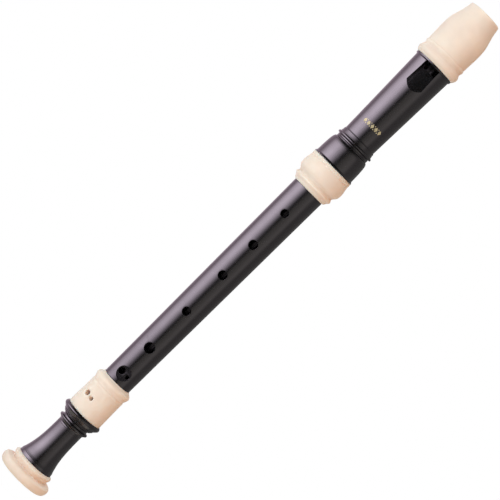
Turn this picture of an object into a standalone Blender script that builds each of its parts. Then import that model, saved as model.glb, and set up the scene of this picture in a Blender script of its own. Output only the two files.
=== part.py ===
"""Soprano recorder, modelled as the separate moulded pieces of its head, middle and foot joints.

Units are metres. +Z runs up the instrument from the bell to the beak, and the finger holes and the
window face -Y. Every piece is turned about Z, then drilled or cut. Each piece is drawn from its own
lower edge at height 0 and carried by the empty of its joint.
"""

import math

import bmesh
import bpy
from mathutils import Matrix

# Facets around a turned piece and a drilled hole, and points along a rounded stretch of an outline
SEGMENTS = 36
HOLE_SEGMENTS = 22
CURVE_STEPS = 5

# Clearance between pieces that seat on, slide in or butt against one another
FIT = 0.0003

# Middle joint: the tube between its shoulders, and the two tenons
MIDDLE_LENGTH = 0.1342
MIDDLE_TOP_RADIUS = 0.0090
MIDDLE_BOTTOM_RADIUS = 0.0080
TENON_STEP = 0.0008
TENON_CHAMFER = 0.0004
UPPER_TENON_LENGTH = 0.0195
UPPER_TENON_WALL = 0.0022
LOWER_TENON_LENGTH = 0.0106
LOWER_TENON_WALL = 0.0023
GREASE_BAND_DEPTH = 0.0002
GREASE_BAND_MARGIN = 0.0030

# Single holes: places as shares of the tube's length, down from its upper shoulder, and radii
HOLE_SHARES = (0.1203, 0.2839, 0.4426, 0.6311, 0.8241)
HOLE_RADII = (0.00205, 0.0024, 0.0023, 0.0021, 0.0027)
THUMB_HOLE_SHARE = 0.0820
THUMB_HOLE_RADIUS = 0.0026

# Double holes: a large and a small hole side by side, the large one set higher
PAIR_STAGGER = 0.0007
SIXTH_SHARE = 0.9572
SIXTH_LARGE_RADIUS = 0.0019
SIXTH_SMALL_RADIUS = 0.0011
SIXTH_BRIDGE = 0.00125
RECESS_MARGIN = 0.0003
RECESS_RIM = 0.0001
SEVENTH_LARGE_RADIUS = 0.0015
SEVENTH_SMALL_RADIUS = 0.0011
SEVENTH_BRIDGE = 0.0013

# Foot: turned at rest so that its double hole sits under the little finger
FOOT_TWIST_DEGREES = -25.5

# Bell ring
BELL_RIM_LOWER = 0.0033
BELL_RIM_UPPER = 0.0039
BELL_BEAD_LENGTH = 0.0033
BELL_BEAD_HEIGHT = 0.00085
BELL_WALL = 0.0025
BELL_RIM_STEP = 0.0039
BELL_EDGE_ROUND = 0.0021
BELL_TOP_STEP = 0.0006
BELL_MOUTH_FLARE = 0.0020

# Foot body
FOOT_BAND_LENGTH = 0.0021
FOOT_BAND_STEP = 0.0003
FOOT_FLARE_LENGTH = 0.0225
FOOT_FLARE_STEP = 0.0021
FOOT_FLARE_POWER = 2.5
FOOT_BEAD_LENGTH = 0.0034
FOOT_BEAD_HEIGHT = 0.0010
FOOT_CONE_LENGTH = 0.0036
FOOT_CONE_FOOT = 0.0006
FOOT_FLANGE_LENGTH = 0.0026
FOOT_FLANGE_STEP = 0.0007
FOOT_FLANGE_HEIGHT = 0.0003
FOOT_WAIST_WALL = 0.00255
FOOT_BORE_STEP = 0.00015
FOOT_BORE_FLARE = 0.0006
FOOT_SPIGOT_LENGTH = 0.0060
FOOT_SPIGOT_WALL = 0.00275
BELL_SPIGOT_LENGTH = 0.0070
BELL_SPIGOT_WALL = 0.0030

# Foot socket
SEVENTH_ABOVE_SPIGOT = 0.0030
SEVENTH_TO_SOCKET = 0.0027
SOCKET_WALL = 0.0025
SOCKET_TAPER = 0.0003
SOCKET_GROOVE_LENGTH = 0.0018
SOCKET_GROOVE_DEPTH = 0.0002
SOCKET_LIP_LENGTH = 0.0047
SOCKET_LIP_HEIGHT = 0.00145
SOCKET_LIP_OVERHANG = 0.00045

# Head ring
RING_LIP_LENGTH = 0.0022
RING_LIP_OVERHANG = 0.0006
RING_BEAD_LENGTH = 0.0024
RING_BEAD_HEIGHT = 0.00065
RING_SWELL_LENGTH = 0.0097
RING_SWELL_HEIGHT = 0.0015
RING_COLLAR_LENGTH = 0.0025
RING_COLLAR_STEP = 0.0013
RING_WALL = 0.00105
RING_SEAT_DEPTH = 0.0118

# Head body
HEAD_SPIGOT_WALL = 0.0012
HEAD_BORE_STEP = 0.00025
HEAD_FLANGE_LENGTH = 0.0009
BARREL_LENGTH = 0.0074
BARREL_STEP = 0.00055
BARREL_TAPER = 0.0004
SHOULDER_LENGTH = 0.0049
NECK_STEP = 0.00045
SMALL_BEAD_LENGTH = 0.0013
SMALL_BEAD_HEIGHT = 0.0003
LARGE_BEAD_LENGTH = 0.0021
LARGE_BEAD_HEIGHT = 0.00105
BAND_LENGTH = 0.0024
BAND_STEP = 0.00028
BAND_GROOVE_LENGTH = 0.0004
HEAD_TUBE_LENGTH = 0.0505
HEAD_TUBE_WALL = 0.00325
HEAD_TUBE_FLARE = 0.00135
TOP_FLANGE_LENGTH = 0.0016
TOP_FLANGE_STEP = 0.00065
BEAK_SPIGOT_LENGTH = 0.0110
BEAK_SPIGOT_WALL = 0.0020

# Window, labium ramp and windway
WINDOW_WIDTH = 0.0089
WINDOW_LENGTH = 0.0034
RAMP_LENGTH = 0.01235
RAMP_FLARE = 0.0006
RAMP_CROWN = 0.0004
LABIUM_THICKNESS = 0.00035
UNDERCUT_LENGTH = 0.0030
WINDWAY_INSET = 0.0001
WINDWAY_DROP = 0.00055
WINDWAY_HEIGHT = 0.0011

# Beak
BEAK_BEAD_LENGTH = 0.0046
BEAK_BEAD_HEIGHT = 0.0009
BEAK_NECK_LENGTH = 0.0009
BEAK_RING_LENGTH = 0.0019
BEAK_RING_HEIGHT = 0.0003
BEAK_SWELL_LENGTH = 0.0150
BEAK_SWELL_HEIGHT = 0.0003
BEAK_SWELL_STEP = 0.00025
BEAK_TAPER_LENGTH = 0.0081
BEAK_TIP_LENGTH = 0.0043
BEAK_TIP_TAPER = 0.00085
BEAK_TIP_ROUND = 0.0006
BEAK_TIP_WALL = 0.0021
BEAK_WALL = 0.00255
BEAK_CUT_LENGTH = 0.0260
BEAK_CUT_RADIUS = 0.0450
BEAK_TIP_BACK = 0.0010

# Plastics: linear colour and roughness
CREAM = (0.86, 0.70, 0.55)
CREAM_ROUGHNESS = 0.38
DARK_BROWN = (0.035, 0.027, 0.029)
DARK_ROUGHNESS = 0.32

# How far a cutter runs past the face that it opens
OVERCUT = 0.0020

# Points nearer than this are one point, and faces that meet at more than this angle have a crisp edge
MERGE_DISTANCE = 1e-7
CRISP_EDGE = math.radians(35)

# Radii that follow from the middle joint, from the inside out at each end
upper_tenon_radius = MIDDLE_TOP_RADIUS - TENON_STEP
lower_tenon_radius = MIDDLE_BOTTOM_RADIUS - TENON_STEP
bore_top_radius = upper_tenon_radius - UPPER_TENON_WALL
bore_bottom_radius = lower_tenon_radius - LOWER_TENON_WALL
head_socket_radius = upper_tenon_radius + FIT
head_spigot_radius = head_socket_radius + HEAD_SPIGOT_WALL
ring_seat_radius = head_spigot_radius + FIT
ring_neck_radius = ring_seat_radius + RING_WALL
ring_collar_radius = ring_neck_radius + RING_COLLAR_STEP
head_bore_radius = bore_top_radius + HEAD_BORE_STEP
head_tube_radius = head_bore_radius + HEAD_TUBE_WALL
head_tube_top_radius = head_tube_radius + HEAD_TUBE_FLARE
foot_socket_radius = lower_tenon_radius + FIT
socket_top_radius = foot_socket_radius + SOCKET_WALL
socket_bottom_radius = socket_top_radius + SOCKET_TAPER
foot_bore_radius = bore_bottom_radius - FOOT_BORE_STEP
foot_spigot_radius = foot_bore_radius + FOOT_SPIGOT_WALL
foot_waist_radius = foot_bore_radius + FOOT_WAIST_WALL
bell_bore_radius = foot_bore_radius + FOOT_BORE_FLARE
bell_spigot_radius = bell_bore_radius + BELL_SPIGOT_WALL
bell_seat_radius = bell_spigot_radius + FIT
bell_neck_radius = bell_seat_radius + BELL_WALL

# The windway runs between the block's flat front and a flat roof, and the block fills its chamber's rest
windway_width = WINDOW_WIDTH - 2 * WINDWAY_INSET
windway_floor = head_bore_radius - WINDWAY_DROP
windway_roof = windway_floor + WINDWAY_HEIGHT
chamber_radius = math.hypot(windway_floor, windway_width / 2)
block_radius = chamber_radius - FIT
beak_spigot_radius = chamber_radius + BEAK_SPIGOT_WALL
beak_seat_radius = beak_spigot_radius + FIT
beak_neck_radius = beak_seat_radius + BEAK_WALL
beak_tip_radius = chamber_radius + BEAK_TIP_WALL

# Lengths of the pieces between the seams that show
bell_length = BELL_RIM_LOWER + BELL_RIM_UPPER + BELL_BEAD_LENGTH
foot_bead_bottom = FOOT_BAND_LENGTH + FOOT_FLARE_LENGTH
foot_cone_bottom = foot_bead_bottom + FOOT_BEAD_LENGTH
foot_flange_bottom = foot_cone_bottom + FOOT_CONE_LENGTH
foot_length = foot_flange_bottom + FOOT_FLANGE_LENGTH
socket_seat_depth = FOOT_SPIGOT_LENGTH + FIT
seventh_height = socket_seat_depth + SEVENTH_ABOVE_SPIGOT
socket_floor = seventh_height + SEVENTH_TO_SOCKET
socket_length = socket_floor + LOWER_TENON_LENGTH + FIT
ring_swell_bottom = RING_LIP_LENGTH + RING_BEAD_LENGTH
ring_collar_bottom = ring_swell_bottom + RING_SWELL_LENGTH
ring_length = ring_collar_bottom + RING_COLLAR_LENGTH
barrel_top = HEAD_FLANGE_LENGTH + BARREL_LENGTH
neck_bottom = barrel_top + SHOULDER_LENGTH
large_bead_bottom = neck_bottom + SMALL_BEAD_LENGTH
band_bottom = large_bead_bottom + LARGE_BEAD_LENGTH
band_top = band_bottom + BAND_LENGTH
head_tube_bottom = band_top + BAND_GROOVE_LENGTH
window_top = head_tube_bottom + HEAD_TUBE_LENGTH
head_length = window_top + TOP_FLANGE_LENGTH
labium_height = window_top - WINDOW_LENGTH
beak_ring_bottom = BEAK_BEAD_LENGTH + BEAK_NECK_LENGTH
beak_swell_bottom = beak_ring_bottom + BEAK_RING_LENGTH
beak_taper_bottom = beak_swell_bottom + BEAK_SWELL_LENGTH
beak_tip_bottom = beak_taper_bottom + BEAK_TAPER_LENGTH
beak_round_bottom = beak_tip_bottom + BEAK_TIP_LENGTH
beak_length = beak_round_bottom + BEAK_TIP_ROUND

# Heights of the pieces in the standing instrument
foot_body_height = bell_length + FIT
socket_height = foot_body_height + foot_length + FIT
middle_height = socket_height + socket_length + FIT
ring_height = middle_height + MIDDLE_LENGTH + FIT
head_body_height = ring_height + ring_length + FIT
beak_height = head_body_height + head_length + FIT
block_height = head_body_height + window_top


# Outlines are lists of (radius, height) points

def blend(low, high, share):
    return low + (high - low) * share


def hump(start, end, height):
    """A bead between two points, standing out by the given height half way."""
    points = []
    for step in range(CURVE_STEPS + 1):
        share = step / CURVE_STEPS
        radius = blend(start[0], end[0], share) + height * math.sin(math.pi * share)
        points.append((radius, blend(start[1], end[1], share)))
    return points


def quarter_out(start, end):
    """A quarter ellipse that leaves its start square to the axis and reaches its end along the axis."""
    points = []
    for step in range(CURVE_STEPS + 1):
        turn = math.pi / 2 * step / CURVE_STEPS
        radius = blend(start[0], end[0], math.sin(turn))
        points.append((radius, blend(start[1], end[1], 1 - math.cos(turn))))
    return points


def quarter_in(start, end):
    """A quarter ellipse that leaves its start along the axis and reaches its end square to the axis."""
    points = []
    for step in range(CURVE_STEPS + 1):
        turn = math.pi / 2 * step / CURVE_STEPS
        radius = blend(end[0], start[0], math.cos(turn))
        points.append((radius, blend(start[1], end[1], math.sin(turn))))
    return points


def flare(start, end, power):
    """A hollow flare that is steep at its start and runs out straight at its end."""
    points = []
    for step in range(CURVE_STEPS + 1):
        share = step / CURVE_STEPS
        radius = blend(end[0], start[0], (1 - share) ** power)
        points.append((radius, blend(start[1], end[1], share)))
    return points


def tenon(radius, shoulder, end):
    """Outside of a tenon from its shoulder to its end, with a shallow band for grease and a chamfered end."""
    way = math.copysign(1, end - shoulder)
    near = shoulder + way * GREASE_BAND_MARGIN
    far = end - way * GREASE_BAND_MARGIN
    band = radius - GREASE_BAND_DEPTH
    return [
        (radius, shoulder),
        (radius, near),
        (band, near + way * GREASE_BAND_DEPTH),
        (band, far - way * GREASE_BAND_DEPTH),
        (radius, far),
        (radius, end - way * TENON_CHAMFER),
        (radius - TENON_CHAMFER, end),
    ]


# Building

def clear_scene():
    for thing in list(bpy.data.objects):
        bpy.data.objects.remove(thing)


def joint_frame(name, height, twist=0.0):
    """Empty on the instrument's axis that carries the pieces of one joint."""
    frame = bpy.data.objects.new(name, None)
    frame.location.z = height
    frame.rotation_euler.z = twist
    bpy.context.collection.objects.link(frame)
    return frame


def add_object(name, bm, frame, height):
    """Object made from a bmesh, at a height above its joint's empty, shaded smooth between its edges."""
    mesh = bpy.data.meshes.new(name)
    bmesh.ops.recalc_face_normals(bm, faces=bm.faces)
    bm.to_mesh(mesh)
    bm.free()
    mesh.shade_smooth()
    mesh.set_sharp_from_angle(angle=CRISP_EDGE)
    thing = bpy.data.objects.new(name, mesh)
    thing.parent = frame
    thing.location.z = height - frame.location.z
    bpy.context.collection.objects.link(thing)
    return thing


def add_plastic(piece, colour, roughness):
    material = bpy.data.materials.new(piece.name + "_plastic")
    material.use_nodes = True
    shader = material.node_tree.nodes["Principled BSDF"]
    shader.inputs["Base Color"].default_value = (*colour, 1.0)
    shader.inputs["Roughness"].default_value = roughness
    shader.inputs["Metallic"].default_value = 0.0
    piece.data.materials.append(material)


def add_cream(piece):
    add_plastic(piece, CREAM, CREAM_ROUGHNESS)


def add_dark(piece):
    add_plastic(piece, DARK_BROWN, DARK_ROUGHNESS)


def turned(name, outline, frame, height):
    """Piece spun about Z from an outline, which is a closed loop or starts and ends on the axis."""
    bm = bmesh.new()
    points = [bm.verts.new((radius, 0.0, rise)) for radius, rise in outline]
    edges = [bm.edges.new(ends) for ends in zip(points, points[1:])]
    if outline[0][0] > 0:
        edges.append(bm.edges.new((points[-1], points[0])))
    bmesh.ops.spin(
        bm, geom=points + edges, cent=(0, 0, 0), axis=(0, 0, 1),
        angle=2 * math.pi, steps=SEGMENTS, use_merge=True,
    )
    bmesh.ops.remove_doubles(bm, verts=bm.verts, dist=MERGE_DISTANCE)
    return add_object(name, bm, frame, height)


def cut(piece, cutter):
    """Take a cutter's shape out of a piece."""
    cutter.hide_render = True
    cutter.display_type = "WIRE"
    boolean = piece.modifiers.new(cutter.name, "BOOLEAN")
    boolean.operation = "DIFFERENCE"
    boolean.solver = "EXACT"
    boolean.object = cutter


def drill(name, piece, radius, across, rise, inner, outer):
    """Drill a piece along Y between two distances in front of the axis, or behind it if they are negative."""
    depth = abs(outer - inner)
    place = Matrix.Translation((across, -(inner + outer) / 2, rise))
    bm = bmesh.new()
    bmesh.ops.create_cone(
        bm, cap_ends=True, segments=HOLE_SEGMENTS, radius1=radius, radius2=radius, depth=depth,
        matrix=place @ Matrix.Rotation(math.pi / 2, 4, "X"),
    )
    height = piece.location.z + piece.parent.location.z
    cut(piece, add_object(name, bm, piece.parent, height))


def drill_pair(name, piece, large, small, bridge, rise, reach):
    """Drill a large and a small hole side by side, centred together on the front line."""
    half = large + small + bridge / 2
    drill(name + "_large", piece, large, large - half, rise + PAIR_STAGGER / 2, 0.0, reach)
    drill(name + "_small", piece, small, half - small, rise - PAIR_STAGGER / 2, 0.0, reach)


def lofted(name, lower, upper, frame, height):
    """Closed solid between two loops of as many points."""
    bm = bmesh.new()
    lower_face = bm.faces.new([bm.verts.new(point) for point in lower])
    upper_face = bm.faces.new([bm.verts.new(point) for point in upper])
    bmesh.ops.bridge_loops(bm, edges=[*lower_face.edges, *upper_face.edges])
    return add_object(name, bm, frame, height)


def box_loop(half_width, near, far, rise):
    """Rectangle at one height, between two distances in front of the axis."""
    return [
        (-half_width, -near, rise),
        (half_width, -near, rise),
        (half_width, -far, rise),
        (-half_width, -far, rise),
    ]


# Foot joint

def make_bell_ring(frame):
    """Pale rim that the instrument stands on, with the bell's mouth flaring out through its flat foot."""
    rim_radius = bell_neck_radius + BELL_RIM_STEP
    neck = (bell_neck_radius, BELL_RIM_LOWER + BELL_RIM_UPPER)
    top = (bell_neck_radius - BELL_TOP_STEP, bell_length)
    seat_floor = bell_length - BELL_SPIGOT_LENGTH
    outline = [(bell_bore_radius + BELL_MOUTH_FLARE, 0.0)]
    outline += quarter_out((rim_radius - BELL_EDGE_ROUND, 0.0), (rim_radius, BELL_RIM_LOWER))
    outline += quarter_in((rim_radius, BELL_RIM_LOWER), neck)[1:]
    outline += hump(neck, top, BELL_BEAD_HEIGHT)[1:]
    outline += [(bell_seat_radius, bell_length), (bell_seat_radius, seat_floor)]
    outline += [(bell_bore_radius, seat_floor)]
    ring = turned("bell_ring", outline, frame, 0.0)
    add_cream(ring)


def make_foot_body(frame):
    """Dark flared foot, with a spigot into the bell ring below and one into the socket above."""
    flare_radius = foot_waist_radius + FOOT_FLARE_STEP
    flange_radius = socket_bottom_radius + FOOT_FLANGE_STEP
    bead_bottom = (foot_waist_radius, foot_bead_bottom)
    bead_top = (foot_waist_radius + FOOT_CONE_FOOT, foot_cone_bottom)
    spigot_bottom = FIT - BELL_SPIGOT_LENGTH
    spigot_top = foot_length + FOOT_SPIGOT_LENGTH
    outline = [(bell_bore_radius, spigot_bottom), (bell_spigot_radius, spigot_bottom)]
    outline += [(bell_spigot_radius, 0.0)]
    outline += [(flare_radius + 2 * FOOT_BAND_STEP, 0.0), (flare_radius + FOOT_BAND_STEP, FOOT_BAND_LENGTH)]
    outline += flare((flare_radius, FOOT_BAND_LENGTH), bead_bottom, FOOT_FLARE_POWER)
    outline += hump(bead_bottom, bead_top, FOOT_BEAD_HEIGHT)[1:]
    outline += hump((flange_radius, foot_flange_bottom), (flange_radius, foot_length), FOOT_FLANGE_HEIGHT)
    outline += [(foot_spigot_radius, foot_length), (foot_spigot_radius, spigot_top)]
    outline += [(foot_bore_radius, spigot_top)]
    body = turned("foot_body", outline, frame, foot_body_height)
    add_dark(body)


def make_foot_socket(frame):
    """Pale sleeve that takes the middle joint's lower tenon, with the double seventh hole in its wall."""
    lip_bottom = socket_length - SOCKET_LIP_LENGTH
    groove_bottom = lip_bottom - SOCKET_GROOVE_LENGTH
    groove_radius = socket_top_radius - SOCKET_GROOVE_DEPTH
    lip_end = (MIDDLE_BOTTOM_RADIUS + SOCKET_LIP_OVERHANG, socket_length)
    seat_radius = foot_spigot_radius + FIT
    outline = [(seat_radius, 0.0), (socket_bottom_radius, 0.0), (socket_top_radius, groove_bottom)]
    outline += [(groove_radius, groove_bottom)]
    outline += hump((groove_radius, lip_bottom), lip_end, SOCKET_LIP_HEIGHT)
    outline += [(foot_socket_radius, socket_length), (foot_socket_radius, socket_floor)]
    outline += [(foot_bore_radius, socket_floor), (foot_bore_radius, socket_seat_depth)]
    outline += [(seat_radius, socket_seat_depth)]
    socket = turned("foot_socket", outline, frame, socket_height)
    add_cream(socket)
    reach = socket_bottom_radius + OVERCUT
    drill_pair(
        "seventh_hole", socket, SEVENTH_LARGE_RADIUS, SEVENTH_SMALL_RADIUS, SEVENTH_BRIDGE,
        seventh_height, reach,
    )


# Middle joint

def make_middle_body(frame):
    """Dark tapered tube with a tenon at each end, the finger holes in front and the thumb hole behind."""
    lower_end = -LOWER_TENON_LENGTH
    upper_end = MIDDLE_LENGTH + UPPER_TENON_LENGTH
    outline = tenon(lower_tenon_radius, 0.0, lower_end)[::-1]
    outline += [(MIDDLE_BOTTOM_RADIUS, 0.0), (MIDDLE_TOP_RADIUS, MIDDLE_LENGTH)]
    outline += tenon(upper_tenon_radius, MIDDLE_LENGTH, upper_end)
    outline += [(bore_top_radius, upper_end), (bore_bottom_radius, lower_end)]
    body = turned("middle_body", outline, frame, middle_height)
    add_dark(body)
    drill_finger_holes(body)
    drill_sixth_hole(body)


def drill_finger_holes(body):
    reach = MIDDLE_TOP_RADIUS + OVERCUT
    for number, (share, radius) in enumerate(zip(HOLE_SHARES, HOLE_RADII), start=1):
        drill(f"finger_hole_{number}", body, radius, 0.0, blend(MIDDLE_LENGTH, 0.0, share), 0.0, reach)
    thumb_rise = blend(MIDDLE_LENGTH, 0.0, THUMB_HOLE_SHARE)
    drill("thumb_hole", body, THUMB_HOLE_RADIUS, 0.0, thumb_rise, 0.0, -reach)


def drill_sixth_hole(body):
    """Double sixth hole in the floor of a flat round recess, which just reaches the tube's sides."""
    reach = MIDDLE_TOP_RADIUS + OVERCUT
    rise = blend(MIDDLE_LENGTH, 0.0, SIXTH_SHARE)
    tube_radius = blend(MIDDLE_TOP_RADIUS, MIDDLE_BOTTOM_RADIUS, SIXTH_SHARE)
    recess_radius = SIXTH_LARGE_RADIUS + SIXTH_SMALL_RADIUS + SIXTH_BRIDGE / 2 + RECESS_MARGIN
    recess_floor = math.sqrt(tube_radius ** 2 - recess_radius ** 2) - RECESS_RIM
    drill("sixth_recess", body, recess_radius, 0.0, rise, recess_floor, reach)
    drill_pair("sixth_hole", body, SIXTH_LARGE_RADIUS, SIXTH_SMALL_RADIUS, SIXTH_BRIDGE, rise, reach)


# Head joint

def make_head_ring(frame):
    """Pale swelling ring around the head's spigot, whose lip is the mouth of the head's socket."""
    lip_radius = MIDDLE_TOP_RADIUS + RING_LIP_OVERHANG
    neck = (ring_neck_radius, ring_swell_bottom)
    collar = (ring_collar_radius, ring_collar_bottom)
    shelf = ring_length - RING_SEAT_DEPTH
    outline = [(head_socket_radius, 0.0), (lip_radius, 0.0)]
    outline += hump((ring_neck_radius, RING_LIP_LENGTH), neck, RING_BEAD_HEIGHT)
    outline += hump(neck, collar, RING_SWELL_HEIGHT)[1:]
    outline += [(ring_collar_radius, ring_length), (ring_seat_radius, ring_length)]
    outline += [(ring_seat_radius, shelf), (head_socket_radius, shelf)]
    ring = turned("head_ring", outline, frame, ring_height)
    add_cream(ring)


def make_head_body(frame):
    """Dark head tube: spigot and socket below, turned beads on its outside, and the beak's spigot on top."""
    barrel_radius = ring_collar_radius - BARREL_STEP
    barrel_end = (barrel_radius - BARREL_TAPER, barrel_top)
    neck_radius = head_tube_radius + NECK_STEP
    band_radius = head_tube_radius + BAND_STEP
    top_flange_radius = head_tube_top_radius + TOP_FLANGE_STEP
    spigot_bottom = FIT - RING_SEAT_DEPTH
    spigot_top = head_length + BEAK_SPIGOT_LENGTH
    socket_top = UPPER_TENON_LENGTH - ring_length
    bore_top = window_top + FIT
    outline = [(0.0, bore_top), (head_bore_radius, bore_top), (head_bore_radius, socket_top)]
    outline += [(head_socket_radius, socket_top), (head_socket_radius, spigot_bottom)]
    outline += [(head_spigot_radius, spigot_bottom), (head_spigot_radius, 0.0)]
    outline += [(ring_collar_radius, 0.0), (ring_collar_radius, HEAD_FLANGE_LENGTH)]
    outline += [(barrel_radius, HEAD_FLANGE_LENGTH)]
    outline += quarter_in(barrel_end, (neck_radius, neck_bottom))
    outline += hump((neck_radius, neck_bottom), (neck_radius, large_bead_bottom), SMALL_BEAD_HEIGHT)[1:]
    outline += hump((neck_radius, large_bead_bottom), (band_radius, band_bottom), LARGE_BEAD_HEIGHT)[1:]
    outline += [(band_radius, band_top), (head_tube_radius - BAND_STEP, band_top)]
    outline += [(head_tube_radius, head_tube_bottom), (head_tube_top_radius, window_top)]
    outline += [(top_flange_radius, window_top), (top_flange_radius, head_length)]
    outline += [(beak_spigot_radius, head_length), (beak_spigot_radius, spigot_top), (0.0, spigot_top)]
    body = turned("head_body", outline, frame, head_body_height)
    add_dark(body)
    return body


def cut_window(head_body, frame):
    """Open the window, slope the ramp down to the labium's edge and thin that edge from inside the bore."""
    half_width = WINDOW_WIDTH / 2
    reach = head_tube_top_radius + OVERCUT
    undercut_bottom = labium_height - UNDERCUT_LENGTH
    window = lofted(
        "window",
        box_loop(half_width, windway_floor, reach, labium_height),
        box_loop(half_width, windway_floor, reach, window_top),
        frame, head_body_height,
    )
    cut(head_body, window)
    undercut = lofted(
        "labium_undercut",
        box_loop(half_width, 0.0, head_bore_radius - FIT, undercut_bottom),
        box_loop(half_width, 0.0, head_bore_radius, labium_height + OVERCUT),
        frame, head_body_height,
    )
    cut(head_body, undercut)
    cut(head_body, make_ramp_cutter(frame, half_width, reach))


def make_ramp_cutter(frame, half_width, reach):
    """Solid above the ramp, with a lower face that is arched across and runs on past the ramp's start."""
    start_height = labium_height - RAMP_LENGTH
    tube_share = (start_height - head_tube_bottom) / HEAD_TUBE_LENGTH
    start_depth = blend(head_tube_radius, head_tube_top_radius, tube_share)
    edge_depth = head_bore_radius + LABIUM_THICKNESS
    slope = (edge_depth - start_depth) / RAMP_LENGTH
    widening = RAMP_FLARE / RAMP_LENGTH

    def loop(past_start):
        depth = start_depth + slope * past_start
        half = half_width + RAMP_FLARE - widening * past_start
        rise = start_height + past_start
        points = []
        for step in range(CURVE_STEPS + 1):
            across = 2 * step / CURVE_STEPS - 1
            points.append((half * across, RAMP_CROWN * across ** 2 - depth, rise))
        return points + [(half, -reach - OVERCUT, rise), (-half, -reach - OVERCUT, rise)]

    return lofted("labium_ramp", loop(-OVERCUT), loop(RAMP_LENGTH), frame, head_body_height)


def make_chamber_cutter(frame):
    """Room for the block with the windway along its front, from the window out past the beak's tip."""
    corner = math.atan2(windway_width / 2, windway_floor)
    top = beak_height + beak_length + OVERCUT - head_body_height

    def loop(rise):
        points = []
        for step in range(SEGMENTS + 1):
            turn = blend(corner, 2 * math.pi - corner, step / SEGMENTS)
            points.append((chamber_radius * math.sin(turn), -chamber_radius * math.cos(turn), rise))
        half = windway_width / 2
        return points + [(-half, -windway_roof, rise), (half, -windway_roof, rise)]

    return lofted("block_chamber", loop(window_top - OVERCUT / 2), loop(top), frame, head_body_height)


def make_beak(frame):
    """Pale mouthpiece cap, seated on the head's spigot and tapering to the tip."""
    swell_radius = beak_neck_radius + BEAK_SWELL_STEP
    swell_bottom = (swell_radius, beak_swell_bottom)
    swell_top = (swell_radius, beak_taper_bottom)
    seat_top = BEAK_SPIGOT_LENGTH
    outline = [(0.0, seat_top), (beak_seat_radius, seat_top), (beak_seat_radius, 0.0)]
    outline += hump((beak_neck_radius, 0.0), (beak_neck_radius, BEAK_BEAD_LENGTH), BEAK_BEAD_HEIGHT)
    outline += hump((beak_neck_radius, beak_ring_bottom), swell_bottom, BEAK_RING_HEIGHT)
    outline += hump(swell_bottom, swell_top, BEAK_SWELL_HEIGHT)[1:]
    outline += [(beak_tip_radius + BEAK_TIP_TAPER, beak_tip_bottom), (beak_tip_radius, beak_round_bottom)]
    outline += [(beak_tip_radius - BEAK_TIP_ROUND, beak_length), (0.0, beak_length)]
    beak = turned("beak", outline, frame, beak_height)
    add_cream(beak)
    return beak


def make_block(frame):
    """Plug that fills the chamber behind the windway, with a flat front for the windway's floor."""
    length = beak_height + beak_length - FIT - block_height
    outline = [(0.0, 0.0), (block_radius, 0.0), (block_radius, length), (0.0, length)]
    block = turned("block", outline, frame, block_height)
    add_cream(block)
    flat = lofted(
        "windway_floor",
        box_loop(chamber_radius, windway_floor, chamber_radius + OVERCUT, -OVERCUT),
        box_loop(chamber_radius, windway_floor, chamber_radius + OVERCUT, length + OVERCUT),
        frame, block_height,
    )
    cut(block, flat)
    return block


def make_beak_cutter(frame):
    """Round cutter that hollows the back of the beak, from the swell to a lip at the tip."""
    tip = (BEAK_TIP_BACK, beak_length)
    heel = (beak_neck_radius + BEAK_SWELL_STEP + BEAK_SWELL_HEIGHT, beak_length - BEAK_CUT_LENGTH)
    chord = math.dist(tip, heel)
    rise = math.sqrt(BEAK_CUT_RADIUS ** 2 - chord ** 2 / 4)
    along = ((heel[0] - tip[0]) / chord, (heel[1] - tip[1]) / chord)
    centre = ((tip[0] + heel[0]) / 2 - rise * along[1], (tip[1] + heel[1]) / 2 + rise * along[0])
    place = Matrix.Translation((0.0, centre[0], centre[1])) @ Matrix.Rotation(math.pi / 2, 4, "Y")
    bm = bmesh.new()
    bmesh.ops.create_cone(
        bm, cap_ends=True, segments=2 * SEGMENTS, radius1=BEAK_CUT_RADIUS, radius2=BEAK_CUT_RADIUS,
        depth=4 * beak_neck_radius, matrix=place,
    )
    return add_object("beak_cut", bm, frame, beak_height)


def make_foot():
    frame = joint_frame("foot_joint", 0.0, math.radians(FOOT_TWIST_DEGREES))
    make_bell_ring(frame)
    make_foot_body(frame)
    make_foot_socket(frame)


def make_middle():
    frame = joint_frame("middle_joint", middle_height)
    make_middle_body(frame)


def make_head():
    frame = joint_frame("head_joint", ring_height)
    make_head_ring(frame)
    head_body = make_head_body(frame)
    beak = make_beak(frame)
    block = make_block(frame)
    chamber = make_chamber_cutter(frame)
    beak_cut = make_beak_cutter(frame)
    cut(head_body, chamber)
    cut_window(head_body, frame)
    cut(beak, chamber)
    cut(beak, beak_cut)
    cut(block, beak_cut)


def main():
    clear_scene()
    make_foot()
    make_middle()
    make_head()
    bpy.context.view_layer.update()


main()
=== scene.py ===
"""Soprano recorder, dressed over its CAD frame and lit for the photograph's view.

Every piece is turned again at a fine pitch from an outline of (radius, height) points in millimetres,
in the frame of the standing instrument: +Z up the bore, -Y the side of the finger holes and the window.
"""

import math
from collections import namedtuple

import bmesh
import bpy
from mathutils import Matrix, Vector
from mathutils.geometry import tessellate_polygon

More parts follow.
